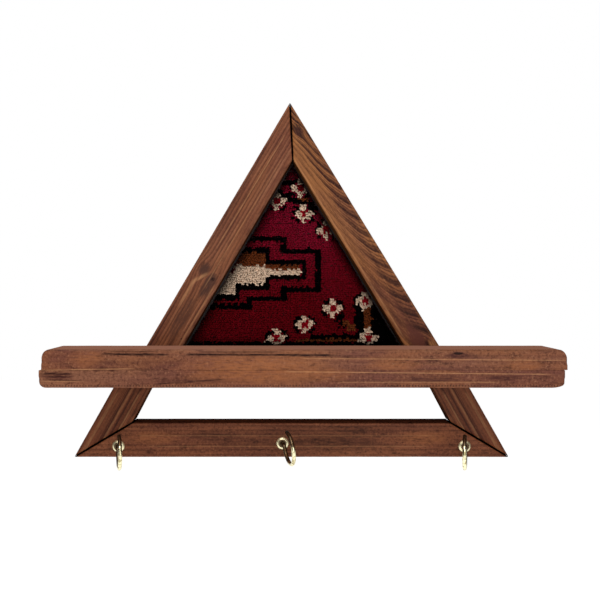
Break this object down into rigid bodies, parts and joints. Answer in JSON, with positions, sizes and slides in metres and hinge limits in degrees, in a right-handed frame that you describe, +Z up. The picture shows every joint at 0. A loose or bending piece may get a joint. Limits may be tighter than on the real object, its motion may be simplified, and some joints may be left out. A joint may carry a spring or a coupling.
{
  "type": "triangle wall rack",
  "caption": "Triangular wall rack of stained wood with a shelf, a knotted rug panel in its upper opening and brass cup hooks below.",
  "frame": {"origin": "the point of the sawtooth hanger that rests on the wall's nail, in the plane of the wall", "axes": "+Z up, +Y into the wall, +X to the viewer's right"},
  "size_m": [0.4642, 0.0656, 0.3387],
  "materials": {
    "stained_wood": "brown stain, satin",
    "rug": "knotted wool pile",
    "backing": "bare thin board",
    "hook_brass": "bright, lightly aged",
    "screw_steel": "zinc plated",
    "fastener_steel": "plain steel",
    "hanger_steel": "brassed steel"
  },
  "bodies": {
    "frame": {"upper_left_rail": "stained_wood", "upper_right_rail": "stained_wood", "cross_rail": "stained_wood", "lower_left_rail": "stained_wood", "lower_right_rail": "stained_wood", "bottom_rail": "stained_wood", "shelf_upper_board": "stained_wood", "shelf_lower_board": "stained_wood", "rug_panel": "rug", "backing_board": "backing", "shelf_screw_1": "screw_steel", "shelf_screw_2": "screw_steel", "shelf_screw_3": "screw_steel", "shelf_screw_4": "screw_steel", "corner_fastener_apex": "fastener_steel", "corner_fastener_left": "fastener_steel", "corner_fastener_right": "fastener_steel", "corner_fastener_upper_left": "fastener_steel", "corner_fastener_upper_right": "fastener_steel", "corner_fastener_lower_left": "fastener_steel", "corner_fastener_lower_right": "fastener_steel", "backing_nail_1": "fastener_steel", "backing_nail_2": "fastener_steel", "backing_nail_3": "fastener_steel", "backing_nail_4": "fastener_steel", "backing_nail_5": "fastener_steel", "backing_nail_6": "fastener_steel", "backing_nail_7": "fastener_steel", "backing_nail_8": "fastener_steel", "hanger_nail_left": "fastener_steel", "hanger_nail_right": "fastener_steel", "hanger": "hanger_steel"},
    "hook_left": {"hook_wire_left": "hook_brass", "hook_cup_left": "hook_brass"},
    "hook_centre": {"hook_wire_centre": "hook_brass", "hook_cup_centre": "hook_brass"},
    "hook_right": {"hook_wire_right": "hook_brass", "hook_cup_right": "hook_brass"}
  },
  "joints": [
    {"name": "hook_left_turn", "type": "hinge", "parent": "frame", "child": "hook_left", "pos_m": [-0.1626, -0.0253, -0.2804], "axis": [0, -1, 0], "range_deg": [-90, 90]},
    {"name": "hook_centre_turn", "type": "hinge", "parent": "frame", "child": "hook_centre", "pos_m": [-0.0085, -0.0253, -0.2776], "axis": [0, -1, 0], "range_deg": [-90, 90]},
    {"name": "hook_right_turn", "type": "hinge", "parent": "frame", "child": "hook_right", "pos_m": [0.1626, -0.0253, -0.2804], "axis": [0, -1, 0], "range_deg": [-90, 90]}
  ]
}
